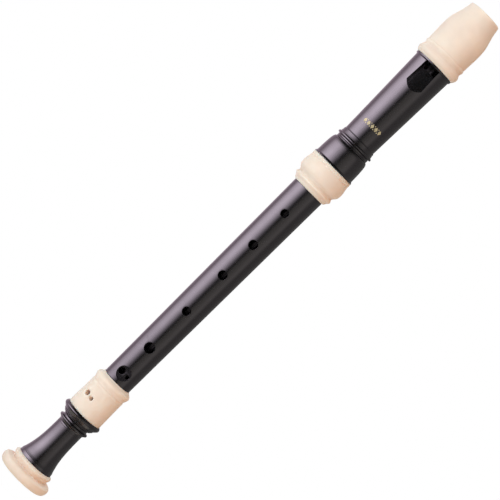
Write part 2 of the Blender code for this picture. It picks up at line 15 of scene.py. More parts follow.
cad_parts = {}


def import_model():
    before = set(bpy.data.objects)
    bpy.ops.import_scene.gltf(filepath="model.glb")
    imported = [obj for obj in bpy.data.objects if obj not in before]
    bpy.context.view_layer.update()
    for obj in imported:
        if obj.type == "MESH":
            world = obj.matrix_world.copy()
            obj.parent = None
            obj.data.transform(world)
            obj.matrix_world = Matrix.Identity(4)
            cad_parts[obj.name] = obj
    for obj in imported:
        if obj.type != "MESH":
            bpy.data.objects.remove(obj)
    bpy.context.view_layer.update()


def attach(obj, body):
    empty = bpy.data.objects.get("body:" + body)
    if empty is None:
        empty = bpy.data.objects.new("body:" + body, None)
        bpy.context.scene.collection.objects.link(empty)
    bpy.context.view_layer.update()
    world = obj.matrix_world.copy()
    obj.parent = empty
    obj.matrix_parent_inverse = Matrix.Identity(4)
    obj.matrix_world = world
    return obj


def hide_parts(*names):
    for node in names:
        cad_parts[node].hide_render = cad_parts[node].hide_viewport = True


# Facets around a piece, and the pitch in millimetres of points along curves and beside holes
SIDES = 192
COLUMN = 2 * math.pi / SIDES
CURVE_PITCH = 0.2
BEAD_STEPS = 12
HOLE_PITCH = 0.36

# Moulded edges: radius of their round, and the angle from which an edge counts as sharp
EDGE_ROUND = 0.14
ROUND_STEPS = 4
SHARP = math.radians(28)

# Straight spans that are long get a row near each end, which keeps a corner's shading at the corner
LONG_SPAN = 8.0
HOLD = 0.4

# Open seam that shows where two pieces butt, and the clearance of hidden fits
SEAM = 0.05
FIT = 0.15

# Heights of the seams between the pieces
BELL_TOP = 10.05
FOOT_TOP = 44.95
SOCKET_TOP = 68.2
MIDDLE_TOP = 203.35
RING_TOP = 220.35
HEAD_TOP = 291.25
BEAK_TOP = 327.0

# Tubes: radii of the bore and of the fits
MIDDLE_BOTTOM_RADIUS = 8.14
MIDDLE_TOP_RADIUS = 9.1
TENON_STEP = 0.8
LOWER_TENON_END = 57.9
UPPER_TENON_END = 222.2
BORE_BOTTOM_RADIUS = 4.9
BORE_TOP_RADIUS = 6.0
FOOT_BORE_RADIUS = 4.75
BELL_BORE_RADIUS = 5.35
BELL_MOUTH_RADIUS = 7.35
HEAD_BORE_RADIUS = 6.25

# Straight part of the head tube: radius and height of its ends
HEAD_TUBE_FOOT = (9.58, 239.5)
HEAD_TUBE_NECK = (10.9, 289.9)

# Finger holes: heights and radii from the top one down, and the thumb hole behind
FINGER_HOLES = ((187.2, 2.12), (165.15, 2.4), (143.8, 2.38), (118.4, 2.22), (92.4, 2.82))
THUMB_HOLE = (191.7, 2.6)
HOLE_EASE = 0.13
HOLE_MARGIN = 1.0

# Double holes: height, radii of the large and small hole, the bridge between them and their stagger
SIXTH_HOLE = (74.25, 1.9, 1.1, 1.25)
SEVENTH_HOLE = (54.45, 1.55, 1.15, 1.22)
SEVENTH_EASE = 0.3
PAIR_STAGGER = 0.7
RECESS_RADIUS = 3.92
RECESS_FLOOR = 6.92
FOOT_TWIST = math.radians(-28.0)

# Window, ramp and windway
WINDOW_WIDTH = 9.1
WINDOW_BOTTOM = 286.6
WINDOW_TOP = 290.05
WINDOW_DEPTH = 4.2
BLOCK_BOTTOM = 291.3
RAMP_LENGTH = 12.35
RAMP_FLARE = 0.6
RAMP_CROWN = 0.3
LABIUM_DEPTH = 6.6
WINDWAY_WIDTH = 8.7
WINDWAY_FLOOR = 5.7
WINDWAY_ROOF = 6.8

# Gilt ornament on the head: height of its middle, lozenges and the dots between them
ORNAMENT_HEIGHT = 248.2
LOZENGES = 5
LOZENGE_PITCH = 2.5
LOZENGE = (0.95, 1.35)
DOT_RADIUS = 0.3
DOT_RISE = 0.95
FOIL = 0.03

Opening = namedtuple("Opening", "across height radius first last low high turn")


# Outlines

def blend(low, high, share):
    return low + (high - low) * share


def tangent(before, here, after):
    """Direction of a smooth line through the middle one of three points."""
    back = here - before
    ahead = after - here
    lean = back * (ahead.length / back.length) + ahead * (back.length / ahead.length)
    return lean / (back.length + ahead.length)


def curve(*knots):
    """Smooth line through a few points."""
    points = [Vector(knot) for knot in knots]
    ends = [2 * points[0] - points[1], *points, 2 * points[-1] - points[-2]]
    line = [points[0]]
    for before, start, end, after in zip(ends, ends[1:], ends[2:], ends[3:]):
        span = (end - start).length
        leave = tangent(before, start, end) * span
        arrive = tangent(start, end, after) * span
        steps = max(2, math.ceil(span / CURVE_PITCH))
        for step in range(1, steps + 1):
            share = step / steps
            rest = 1 - share
            begun = (start * (1 + 2 * share) + leave * share) * rest ** 2
            line.append(begun + (end * (1 + 2 * rest) - arrive * rest) * share ** 2)
    return [tuple(point) for point in line]


def bead(start, end, height):
    """Half-round bead between two points, or a groove where its height is negative."""
    line = []
    for step in range(BEAD_STEPS + 1):
        turn = math.pi * step / BEAD_STEPS
        share = (1 - math.cos(turn)) / 2
        radius = blend(start[0], end[0], share) + height * math.sin(turn)
        line.append((radius, blend(start[1], end[1], share)))
    return line


def tenon(radius, shoulder, end):
    """Outside of a tenon from its shoulder to its end, with two shallow grooves that hold grease."""
    line = [(radius, shoulder)]
    for share in (0.3, 0.62):
        middle = blend(shoulder, end, share)
        half = 0.055 * (end - shoulder)
        line += bead((radius, middle - half), (radius, middle + half), -0.18)
    return line + [(radius, blend(shoulder, end, 0.95)), (radius - 0.45, end)]


def rounded(outline, reach=EDGE_ROUND):
    """The outline with its sharp corners eased, apart from points on the axis."""
    eased = []
    for place, corner in enumerate(outline):
        here = Vector(corner)
        back = Vector(outline[place - 1]) - here
        ahead = Vector(outline[(place + 1) % len(outline)]) - here
        if here.x == 0 or back.angle(-ahead) < SHARP:
            eased.append(corner)
            continue
        near = min(reach, 0.4 * back.length, 0.4 * ahead.length)
        start = here + back.normalized() * near
        end = here + ahead.normalized() * near
        for step in range(ROUND_STEPS + 1):
            share = step / ROUND_STEPS
            eased.append(tuple(start.lerp(here, share).lerp(here.lerp(end, share), share)))
    return held(eased)


def held(outline):
    """The outline with a row close to each end of its long straight spans."""
    line = []
    for start, end in zip(outline, outline[1:] + outline[:1]):
        line.append(start)
        span = math.dist(start, end)
        if span < LONG_SPAN or start[0] == end[0] == 0:
            continue
        for share in (HOLD / span, 1 - HOLD / span):
            line.append((blend(start[0], end[0], share), blend(start[1], end[1], share)))
    return line


# Meshes

def add_piece(name, points, faces):
    """Object in metres from points in millimetres, shaded smooth between its sharp edges."""
    bm = bmesh.new()
    verts = [bm.verts.new(Vector(point) * 0.001) for point in points]
    for face in faces:
        bm.faces.new([verts[corner] for corner in face])
    bmesh.ops.remove_doubles(bm, verts=bm.verts, dist=1e-7)
    bmesh.ops.recalc_face_normals(bm, faces=bm.faces)
    mesh = bpy.data.meshes.new(name)
    bm.to_mesh(mesh)
    bm.free()
    shade(mesh)
    piece = bpy.data.objects.new(name, mesh)
    bpy.context.scene.collection.objects.link(piece)
    return piece


def shade(mesh):
    mesh.shade_smooth()
    mesh.set_sharp_from_angle(angle=SHARP)


def around(radius, height):
    """Points of one row of a turned wall, from the front towards +X."""
    turns = [COLUMN * column for column in range(SIDES)]
    return [(radius * math.sin(turn), -radius * math.cos(turn), height) for turn in turns]


def turned(name, outline):
    """Piece spun about Z from an outline, which is a closed loop or starts and ends on the axis."""
    points = []
    for radius, height in outline:
        points += around(radius, height)
    rows = len(outline)
    if outline[0][0] == 0:
        rows -= 1
    faces = []
    for row in range(rows):
        lower = row * SIDES
        upper = (row + 1) % len(outline) * SIDES
        for column in range(SIDES):
            following = (column + 1) % SIDES
            quad = [lower + column, lower + following, upper + following, upper + column]
            if outline[row][0] == 0:
                quad.pop(1)
            elif outline[(row + 1) % len(outline)][0] == 0:
                quad.pop(2)
            faces.append(quad)
    return add_piece(name, points, faces)


class DrilledTube:
    """A turned tube whose outer wall and bore have round openings with eased edges."""

    def __init__(self, outline, wall_openings, bore_openings, reach=HOLE_EASE):
        self.outline = outline
        self.reach = reach
        self.points = []
        self.faces = []
        self.rows = {}
        self.heights = self.row_heights(wall_openings + bore_openings)
        self.bore, self.wall = self.walls()
        self.openings = {self.wall: wall_openings, self.bore: bore_openings}
        self.skin()

    def row_heights(self, openings):
        """Heights of the extra rows, close together along every opening."""
        heights = set()
        for opening in openings:
            steps = math.ceil((opening.high - opening.low) / HOLE_PITCH)
            heights |= {round(blend(opening.low, opening.high, step / steps), 4) for step in range(steps + 1)}
        return sorted(heights)

    def walls(self):
        """The two straight spans of the outline that run past every opening, the bore's first."""
        spans = []
        for place, (start, end) in enumerate(zip(self.outline, self.outline[1:] + self.outline[:1])):
            low, high = sorted((start[1], end[1]))
            if low < self.heights[0] and self.heights[-1] < high:
                spans.append((start[0], place))
        return [place for radius, place in sorted(spans)]

    def radius(self, place, height):
        start = self.outline[place]
        end = self.outline[(place + 1) % len(self.outline)]
        return blend(start[0], end[0], (height - start[1]) / (end[1] - start[1]))

    def ring(self, points):
        """Add a loop of points and give their numbers."""
        first = len(self.points)
        self.points += points
        return list(range(first, len(self.points)))

    def join(self, lower, upper):
        """Quads between two loops of as many points."""
        for corner in range(len(lower)):
            following = (corner + 1) % len(lower)
            self.faces.append((lower[corner], lower[following], upper[following], upper[corner]))

    def skin(self):
        """Rows of the whole outline with quads between them, left out where there are openings."""
        rows = []
        for place, (start, end) in enumerate(zip(self.outline, self.outline[1:] + self.outline[:1])):
            rows.append((place, start[1], self.ring(around(*start))))
            if place not in self.openings:
                continue
            for height in sorted(self.heights, reverse=end[1] < start[1]):
                row = self.ring(around(self.radius(place, height), height))
                self.rows[place, height] = row
                rows.append((place, height, row))
        for (place, height, lower), (_, next_height, upper) in zip(rows, rows[1:] + rows[:1]):
            low, high = sorted((height, next_height))
            gaps = [gap for gap in self.openings.get(place, []) if gap.low <= low and high <= gap.high]
            for column in range(SIDES):
                if any((column - gap.turn - gap.first) % SIDES < gap.last - gap.first for gap in gaps):
                    continue
                following = (column + 1) % SIDES
                self.faces.append((lower[column], lower[following], upper[following], upper[column]))

    def border(self, place, opening):
        """Corner points of the gap in a wall, once around it."""
        columns = [(column + opening.turn) % SIDES for column in range(opening.first, opening.last + 1)]
        heights = [height for height in self.heights if opening.low <= height <= opening.high]
        loop = [self.rows[place, heights[0]][column] for column in columns]
        loop += [self.rows[place, height][columns[-1]] for height in heights[1:]]
        loop += [self.rows[place, heights[-1]][column] for column in columns[-2::-1]]
        loop += [self.rows[place, height][columns[0]] for height in heights[-2:0:-1]]
        return loop

    def faced(self, opening, across, front, height):
        """Point at a distance in front of the axis on the side that the opening faces."""
        turn = COLUMN * opening.turn
        x = across * math.cos(turn) + front * math.sin(turn)
        return x, across * math.sin(turn) - front * math.cos(turn), height

    def spread(self, place, opening):
        """Positions of the border's points across the opening's side and up it."""
        turn = COLUMN * opening.turn
        spots = []
        for corner in self.border(place, opening):
            x, y, height = self.points[corner]
            spots.append((x * math.cos(turn) + y * math.sin(turn), height))
        return spots

    def directions(self, place, opening):
        spots = self.spread(place, opening)
        return [math.atan2(height - opening.height, across - opening.across) for across, height in spots]

    def circle(self, opening, radius, directions, front):
        """Loop around an opening, with a function for its distance in front of the axis."""
        points = []
        for direction in directions:
            across = opening.across + radius * math.cos(direction)
            height = opening.height + radius * math.sin(direction)
            points.append(self.faced(opening, across, front(across, height), height))
        return self.ring(points)

    def front_of(self, place):
        return lambda across, height: math.sqrt(self.radius(place, height) ** 2 - across ** 2)

    def fill(self, place, opening, radius, directions):
        """Loops on a wall from the gap's border in to a circle, which is the last."""
        front = self.front_of(place)
        loop = self.border(place, opening)
        spots = self.spread(place, opening)
        for share in (0.25, 0.5, 0.75, 1.0):
            points = []
            for direction, (across, height) in zip(directions, spots):
                across = blend(across, opening.across + radius * math.cos(direction), share)
                height = blend(height, opening.height + radius * math.sin(direction), share)
                points.append(self.faced(opening, across, front(across, height), height))
            inner = self.ring(points)
            self.join(loop, inner)
            loop = inner
        return loop

    def ease(self, loop, opening, radius, reach, directions, front):
        """Round the edge from a face down into an opening."""
        for step in range(1, ROUND_STEPS + 1):
            turn = math.pi / 2 * step / ROUND_STEPS
            sunk = reach * (1 - math.cos(turn))
            inner = self.circle(
                opening, radius + reach * (1 - math.sin(turn)), directions,
                lambda across, height: front(across, height) - sunk,
            )
            self.join(loop, inner)
            loop = inner
        return loop

    def drill(self, opening):
        """Hole from the outer wall to the bore, with its outer edge eased."""
        directions = self.directions(self.wall, opening)
        loop = self.fill(self.wall, opening, opening.radius + self.reach, directions)
        loop = self.ease(loop, opening, opening.radius, self.reach, directions, self.front_of(self.wall))
        self.join(loop, self.fill(self.bore, opening, opening.radius, directions))

    def sink(self, recess, floor, pair):
        """Flat round recess with two holes from its floor to the bore."""
        directions = self.directions(self.wall, recess)
        reach = self.reach / 2
        loop = self.fill(self.wall, recess, recess.radius + reach, directions)
        loop = self.ease(loop, recess, recess.radius, reach, directions, self.front_of(self.wall))
        rim = self.circle(recess, recess.radius, directions, lambda across, height: floor)
        self.join(loop, rim)
        loops = [rim]
        for opening in pair:
            directions = self.directions(self.bore, opening)
            mouth = self.circle(
                opening, opening.radius + reach, directions, lambda across, height: floor,
            )
            loops.append(mouth)
            loop = self.ease(mouth, opening, opening.radius, reach, directions, lambda across, height: floor)
            self.join(loop, self.fill(self.bore, opening, opening.radius, directions))
        corners = sum(loops, [])
        flat = [[Vector(self.points[corner]) for corner in loop] for loop in loops]
        self.faces += [tuple(corners[corner] for corner in face) for face in tessellate_polygon(flat)]


def single(height, radius, bore_radius, turn=0):
    """Opening of one hole on the front line, or on the back line with a turn of half the columns."""
    half = math.ceil(math.asin((radius + HOLE_MARGIN) / bore_radius) / COLUMN)
    reach = radius + HOLE_MARGIN
    return Opening(0.0, height, radius, -half, half, height - reach, height + reach, turn)


def pair(hole, bore_radius):
    """Openings of a large and a small hole side by side, the large one higher, centred on the front line."""
    height, large, small, bridge = hole
    half = large + small + bridge / 2
    edge = math.ceil(math.asin((half + 0.5) / bore_radius) / COLUMN)
    split = round((large - small) / bore_radius / COLUMN)
    low = height - large - HOLE_MARGIN
    high = height + large + HOLE_MARGIN
    return [
        Opening(large - half, height + PAIR_STAGGER / 2, large, -edge, split, low, high, 0),
        Opening(half - small, height - PAIR_STAGGER / 2, small, split, edge, low, high, 0),
    ]


def prism(name, lower, upper):
    """Closed cutter between two loops of as many points."""
    count = len(lower)
    faces = [tuple(range(count)), tuple(range(count, 2 * count))]
    for corner in range(count):
        following = (corner + 1) % count
        faces.append((corner, following, count + following, count + corner))
    return add_piece(name, lower + upper, faces)


def box_loop(half_width, near, far, height):
    """Rectangle at one height, between two distances in front of the axis."""
    corners = ((-half_width, near), (half_width, near), (half_width, far), (-half_width, far))
    return [(across, -front, height) for across, front in corners]


def cut(piece, *cutters):
    """Take cutters out of a piece, with a sharp edge all along each cut."""
    for solid in (piece, *cutters):
        solid.data.materials.clear()
        solid.data.materials.append(None)
        solid.data.materials.append(None)
    for cutter in cutters:
        cutter.data.polygons.foreach_set("material_index", [1] * len(cutter.data.polygons))
        boolean = piece.modifiers.new(cutter.name, "BOOLEAN")
        boolean.operation = "DIFFERENCE"
        boolean.solver = "EXACT"
        boolean.object = cutter
    graph = bpy.context.evaluated_depsgraph_get()
    mesh = bpy.data.meshes.new_from_object(piece.evaluated_get(graph))
    piece.modifiers.clear()
    piece.data = mesh
    shade(mesh)
    bm = bmesh.new()
    bm.from_mesh(mesh)
    for edge in bm.edges:
        if len({face.material_index for face in edge.link_faces}) > 1:
            edge.smooth = False
    for face in bm.faces:
        face.material_index = 0
    bm.to_mesh(mesh)
    bm.free()


# Foot joint

def make_bell_ring():
    """Pale rim with a rounded edge, a deep cove and a bead, around the bell's mouth."""
    seat = BELL_TOP - 7.0
    outline = [(BELL_MOUTH_RADIUS, 0.0)]
    outline += curve((13.3, 0.0), (14.05, 0.5), (14.58, 1.25), (14.87, 2.15), (14.96, 3.0), (14.88, 3.75))
    outline += curve((14.88, 3.75), (14.66, 4.4), (14.15, 4.93), (13.3, 5.22))[1:]
    outline += curve((13.0, 5.26), (11.7, 5.36), (10.95, 5.48), (10.63, 5.72))
    outline += curve((10.65, 5.85), (10.9, 6.45), (11.25, 7.2), (11.63, 8.0), (11.8, 8.55), (11.65, 9.1), (11.1, 9.55))
    outline += [(10.5, BELL_TOP - SEAM), (8.65, BELL_TOP - SEAM), (8.65, seat), (BELL_BORE_RADIUS, seat)]
    outline += curve((BELL_BORE_RADIUS, seat), (5.7, 2.2), (6.4, 0.8), (BELL_MOUTH_RADIUS, 0.0))[1:-1]
    return turned("bell_ring", rounded(outline))


def make_foot_body():
    """Dark flared foot with a band below, beads and fine reeds above, and a rounded flange."""
    outline = [(BELL_BORE_RADIUS, BELL_TOP - 7.0 + FIT), (8.65 - FIT, BELL_TOP - 7.0 + FIT)]
    outline += [(8.65 - FIT, BELL_TOP), (10.4, BELL_TOP)]
    outline += curve((10.4, BELL_TOP), (10.27, 10.45), (10.17, 11.2), (10.1, 11.85))[1:]
    outline += bead((10.0, 11.95), (9.9, 12.25), -0.06)
    outline += curve(
        (9.88, 12.3), (9.64, 12.95), (9.17, 14.7), (8.7, 16.7), (8.26, 19.1), (7.82, 22.9), (7.58, 27.0),
        (7.48, 31.0), (7.46, 34.0),
    )
    outline += bead((7.46, 34.15), (7.46, 34.5), -0.07)
    outline += curve(
        (7.46, 34.65), (7.46, 35.4), (7.6, 35.8), (8.12, 36.35), (8.72, 36.83), (8.92, 37.03), (8.97, 37.36),
        (8.9, 37.68), (8.5, 37.9), (7.96, 38.08), (7.75, 38.25), (7.71, 38.6), (7.72, 39.05), (7.86, 39.42),
    )
    for reed in range(2):
        low = 39.6 + 0.78 * reed
        outline += bead((8.15 + 0.68 * reed, low), (8.8 + 0.68 * reed, low + 0.75), 0.34)
    outline += curve(
        (9.6, 41.25), (10.2, 41.85), (10.8, 42.45), (11.25, 42.95), (11.45, 43.4), (11.42, 43.85), (11.15, 44.4),
    )
    outline += [(10.65, FOOT_TOP)]
    outline += [(7.5, FOOT_TOP), (7.5, FOOT_TOP + 5.8), (FOOT_BORE_RADIUS, FOOT_TOP + 5.8)]
    return turned("foot_body", rounded(outline))


def make_foot_socket():
    """Pale sleeve with a fine bead and a rounded lip, and the double hole through its thick wall."""
    floor = LOWER_TENON_END - 0.6
    seat = FOOT_TOP + 6.4
    outline = [(7.65, FOOT_TOP + SEAM), (10.3, FOOT_TOP + SEAM), (9.98, 60.5)]
    outline += bead((9.98, 60.6), (9.96, 61.95), 0.1)
    outline += bead((9.95, 62.1), (9.92, 62.75), -0.08)
    outline += curve((9.96, 62.95), (10.4, 64.0), (10.74, 65.05), (10.66, 65.85), (10.25, 66.55))
    outline += curve((10.25, 66.55), (9.45, 67.2), (8.85, 67.6), (8.5, SOCKET_TOP - SEAM))[1:]
    outline += [(7.35, SOCKET_TOP - SEAM), (7.35, floor), (FOOT_BORE_RADIUS, floor)]
    outline += [(FOOT_BORE_RADIUS, seat), (7.65, seat)]
    holes = pair(SEVENTH_HOLE, FOOT_BORE_RADIUS)
    tube = DrilledTube(rounded(outline), holes, holes, SEVENTH_EASE)
    for hole in holes:
        tube.drill(hole)
    socket = add_piece("foot_socket", tube.points, tube.faces)
    socket.data.transform(Matrix.Rotation(FOOT_TWIST, 4, "Z"))
    return socket


# Middle joint

def make_middle_body():
    """Dark tapered tube between two tenons, with the finger holes in front and the thumb hole behind."""
    lower = MIDDLE_BOTTOM_RADIUS - TENON_STEP
    upper = MIDDLE_TOP_RADIUS - TENON_STEP
    outline = tenon(lower, SOCKET_TOP, LOWER_TENON_END)[::-1]
    outline += [(MIDDLE_BOTTOM_RADIUS, SOCKET_TOP), (MIDDLE_TOP_RADIUS, MIDDLE_TOP)]
    outline += tenon(upper, MIDDLE_TOP, UPPER_TENON_END)
    outline += [(BORE_TOP_RADIUS, UPPER_TENON_END), (BORE_BOTTOM_RADIUS, LOWER_TENON_END)]
    singles = []
    for height, radius in FINGER_HOLES:
        singles.append(single(height, radius, bore_at(height)))
    singles.append(single(*THUMB_HOLE, bore_at(THUMB_HOLE[0]), SIDES // 2))
    doubles = pair(SIXTH_HOLE, bore_at(SIXTH_HOLE[0]))
    reach = RECESS_RADIUS + 0.5
    low, high = SIXTH_HOLE[0] - reach, SIXTH_HOLE[0] + reach
    edge = math.ceil(math.asin(reach / MIDDLE_BOTTOM_RADIUS) / COLUMN)
    recess = Opening(0.0, SIXTH_HOLE[0], RECESS_RADIUS, -edge, edge, low, high, 0)
    tube = DrilledTube(rounded(outline), [*singles, recess], [*singles, *doubles])
    for hole in singles:
        tube.drill(hole)
    tube.sink(recess, RECESS_FLOOR, doubles)
    return add_piece("middle_body", tube.points, tube.faces)


def bore_at(height):
    share = (height - LOWER_TENON_END) / (UPPER_TENON_END - LOWER_TENON_END)
    return blend(BORE_BOTTOM_RADIUS, BORE_TOP_RADIUS, share)


# Head joint

def make_head_ring():
    """Pale swelling ring with a bead at its mouth and a narrow collar on top."""
    shelf = RING_TOP - 11.7
    outline = [(8.4, MIDDLE_TOP + SEAM), (9.6, MIDDLE_TOP + SEAM)]
    outline += curve((9.6, MIDDLE_TOP + SEAM), (10.2, 204.1), (10.6, 204.85), (11.1, 205.5))[1:]
    outline += curve((11.1, 205.5), (11.6, 206.05), (11.78, 206.6), (11.5, 207.25), (11.08, 207.9))[1:]
    outline += curve(
        (11.06, 208.25), (11.3, 208.75), (11.95, 209.5), (12.55, 210.35), (12.97, 211.4), (13.1, 212.5),
    )
    outline += curve((13.1, 212.5), (13.12, 213.5), (12.98, 214.9), (12.68, 216.5), (12.4, 217.8))[1:]
    outline += bead((12.37, 218.0), (12.37, 218.35), -0.04)
    outline += curve((12.42, 218.45), (12.52, 218.95), (12.42, 219.55), (12.4, 219.9))
    outline += [(12.4, RING_TOP - SEAM), (9.85, RING_TOP - SEAM), (9.85, shelf), (8.4, shelf)]
    return turned("head_ring", rounded(outline))


def make_head_body():
    """Dark head tube with a flange, a rounded barrel, turned beads and the plain tube up to the window."""
    outline = [(0.0, 290.3), (HEAD_BORE_RADIUS, 290.3), (HEAD_BORE_RADIUS, UPPER_TENON_END + 0.3)]
    outline += [(8.4, UPPER_TENON_END + 0.3), (8.4, RING_TOP - 11.5), (9.7, RING_TOP - 11.5)]
    outline += [(9.7, RING_TOP), (12.5, RING_TOP)]
    outline += [(12.5, RING_TOP + 0.2), (11.9, 221.4)]
    outline += curve(
        (11.84, 221.6), (11.78, 223.1), (11.7, 226.0), (11.5, 229.0), (11.4, 230.1), (11.24, 231.2),
        (10.98, 232.1), (10.62, 232.75), (10.27, 233.05), (10.03, 233.15),
    )
    outline += bead((10.0, 233.22), (10.0, 233.68), 0.08)
    outline += curve((9.9, 233.82), (10.05, 234.0), (10.08, 234.35), (10.05, 234.68), (9.92, 234.8))
    outline += curve(
        (10.1, 235.0), (10.75, 235.07), (10.98, 235.24), (11.02, 235.6), (10.98, 235.96), (10.75, 236.2),
        (10.25, 236.48),
    )
    outline += [(10.2, 236.65), (9.98, 237.7), (9.9, 238.85)]
    outline += bead((9.72, 238.95), (9.6, 239.4), -0.1)
    outline += [HEAD_TUBE_FOOT, HEAD_TUBE_NECK]
    outline += curve((10.98, 289.98), (11.27, 290.08), (11.44, 290.36), (11.48, 290.7), (11.44, HEAD_TOP - SEAM))
    outline += [(9.17, HEAD_TOP - SEAM), (9.17, 302.6), (0.0, 302.6)]
    body = turned("head_body", rounded(outline))
    half = WINDOW_WIDTH / 2
    window = prism(
        "window", box_loop(half, WINDOW_DEPTH, 14.0, WINDOW_BOTTOM), box_loop(half, WINDOW_DEPTH, 14.0, WINDOW_TOP),
    )
    undercut = prism(
        "undercut", box_loop(half, 0.0, HEAD_BORE_RADIUS - 0.3, WINDOW_BOTTOM - 3.0),
        box_loop(half, 0.0, HEAD_BORE_RADIUS, WINDOW_BOTTOM + 1.0),
    )
    cutters = [make_chamber_cutter(), window, undercut, make_ramp_cutter()]
    cut(body, *cutters)
    for cutter in cutters:
        bpy.data.objects.remove(cutter)
    return body


def on_head_tube(across, height, lift):
    """Point at a height above the head tube's surface, at a distance round it from the front line."""
    share = (height - HEAD_TUBE_FOOT[1]) / (HEAD_TUBE_NECK[1] - HEAD_TUBE_FOOT[1])
    radius = blend(HEAD_TUBE_FOOT[0], HEAD_TUBE_NECK[0], share)
    turn = across / radius
    return (radius + lift) * math.sin(turn), -(radius + lift) * math.cos(turn), height


def foil_patch(across, height, half_width, half_height, power):
    """Points and faces of a thin patch on the head tube, round with a power of 1 and a lozenge with 2."""
    steps = 32
    points = []
    for lift in (FOIL, -FOIL):
        points.append(on_head_tube(across, height, lift))
        for share in (0.5, 1.0):
            for step in range(steps):
                turn = 2 * math.pi * step / steps
                aside = math.copysign(abs(math.cos(turn)) ** power, math.cos(turn)) * half_width * share
                rise = math.copysign(abs(math.sin(turn)) ** power, math.sin(turn)) * half_height * share
                points.append(on_head_tube(across + aside, height + rise, lift))
    back = 1 + 2 * steps
    faces = []
    for step in range(steps):
        following = (step + 1) % steps
        for first in (0, back):
            inner, outer = first + 1, first + 1 + steps
            faces.append((first, inner + step, inner + following))
            faces.append((inner + step, outer + step, outer + following, inner + following))
        rim, back_rim = 1 + steps, back + 1 + steps
        faces.append((rim + step, rim + following, back_rim + following, back_rim + step))
    return points, faces


def make_ornament():
    """Row of gilt lozenges with pairs of dots between them, pressed on the front of the head tube."""
    patches = []
    for place in range(LOZENGES):
        across = LOZENGE_PITCH * (place - (LOZENGES - 1) / 2)
        patches.append(foil_patch(across, ORNAMENT_HEIGHT, *LOZENGE, 2))
        if place == 0:
            continue
        for side in (-1, 1):
            height = ORNAMENT_HEIGHT + side * DOT_RISE
            patches.append(foil_patch(across - LOZENGE_PITCH / 2, height, DOT_RADIUS, DOT_RADIUS, 1))
    points = []
    faces = []
    for patch, corners in patches:
        faces += [tuple(len(points) + corner for corner in face) for face in corners]
        points += patch
    return add_piece("head_ornament", points, faces)


def make_ramp_cutter():
    """Solid above the ramp, with a lower face that is arched across."""
    steps = 24
    start_depth = 10.44
    slope = (LABIUM_DEPTH - start_depth) / RAMP_LENGTH
    half_width = WINDOW_WIDTH / 2

    def loop(past):
        depth = start_depth + slope * past
        half = half_width + RAMP_FLARE * (1 - past / RAMP_LENGTH)
        height = WINDOW_BOTTOM - RAMP_LENGTH + past
        points = []
        for step in range(steps + 1):
            across = 2 * step / steps - 1
            points.append((half * across, RAMP_CROWN * across ** 2 - depth, height))
        return points + [(half, -15.0, height), (-half, -15.0, height)]

    return prism("ramp", loop(-2.0), loop(RAMP_LENGTH))


def make_chamber_cutter():
    """Room for the block with the windway along its front."""
    steps = 96
    radius = math.hypot(WINDWAY_FLOOR, WINDWAY_WIDTH / 2)
    corner = math.atan2(WINDWAY_WIDTH / 2, WINDWAY_FLOOR)
    half = WINDWAY_WIDTH / 2

    def loop(height):
        points = []
        for step in range(steps + 1):
            turn = blend(corner, 2 * math.pi - corner, step / steps)
            points.append((radius * math.sin(turn), -radius * math.cos(turn), height))
        return points + [(-half, -WINDWAY_ROOF, height), (half, -WINDWAY_ROOF, height)]

    return prism("chamber", loop(289.0), loop(330.0))


def make_beak():
    """Pale mouthpiece cap with a bead and a fine ring, swelling and then tapering to a rounded tip."""
    outline = [(0.0, 302.9), (9.32, 302.9), (9.32, HEAD_TOP), (11.75, HEAD_TOP)]
    outline += curve((11.75, HEAD_TOP), (12.2, 291.9), (12.62, 292.6), (12.88, 293.3), (12.98, 294.0))[1:]
    outline += curve((12.98, 294.0), (12.88, 294.7), (12.55, 295.4), (12.2, 296.0), (12.02, 296.4))[1:]
    outline += curve((11.96, 296.7), (12.08, 297.3), (12.33, 298.0), (12.43, 298.5), (12.3, 299.1))
    outline += bead((12.14, 299.35), (12.12, 299.8), -0.1)
    outline += curve(
        (12.12, 299.9), (12.22, 303.0), (12.36, 306.5), (12.4, 309.0), (12.3, 312.0), (12.06, 314.6),
        (11.66, 316.4), (11.1, 318.3), (10.55, 320.2), (10.05, 322.1), (9.68, 324.0), (9.36, 325.8),
    )
    outline += curve((9.36, 325.8), (9.28, 326.3), (9.06, 326.75), (8.6, BEAK_TOP))[1:]
    outline += [(0.0, BEAK_TOP)]
    return turned("beak", rounded(outline))


def make_beak_cutter():
    """Round cutter that hollows the back of the beak."""
    radius = 45.0
    tip = Vector((1.0, BEAK_TOP))
    heel = Vector((12.55, BEAK_TOP - 26.0))
    chord = heel - tip
    rise = math.sqrt(radius ** 2 - chord.length_squared / 4)
    centre = (tip + heel) / 2 + Vector((-chord.y, chord.x)).normalized() * rise
    loops = []
    for across in (-25.0, 25.0):
        loop = []
        for step in range(360):
            turn = 2 * math.pi * step / 360
            loop.append((across, centre.x + radius * math.cos(turn), centre.y + radius * math.sin(turn)))
        loops.append(loop)
    return prism("beak_cut", *loops)


def make_block():
    """Plug with a flat front, the windway's floor."""
    radius = math.hypot(WINDWAY_FLOOR, WINDWAY_WIDTH / 2) - FIT
    outline = [(0.0, BLOCK_BOTTOM), (radius, BLOCK_BOTTOM), (radius, 326.8), (0.0, 326.8)]
    return turned("block", rounded(outline, 0.3))


def make_mouthpiece():
    """Beak and block, cut by the same windway and hollow back."""
    beak = make_beak()
    block = make_block()
    chamber = make_chamber_cutter()
    hollow = make_beak_cutter()
    flat = prism("windway_floor", box_loop(9.0, WINDWAY_FLOOR, 12.0, 285.0), box_loop(9.0, WINDWAY_FLOOR, 12.0, 330.0))
    cut(beak, chamber, hollow)
    cut(block, flat, hollow)
    for cutter in (chamber, hollow, flat):
        bpy.data.objects.remove(cutter)
    return beak, block


# Materials

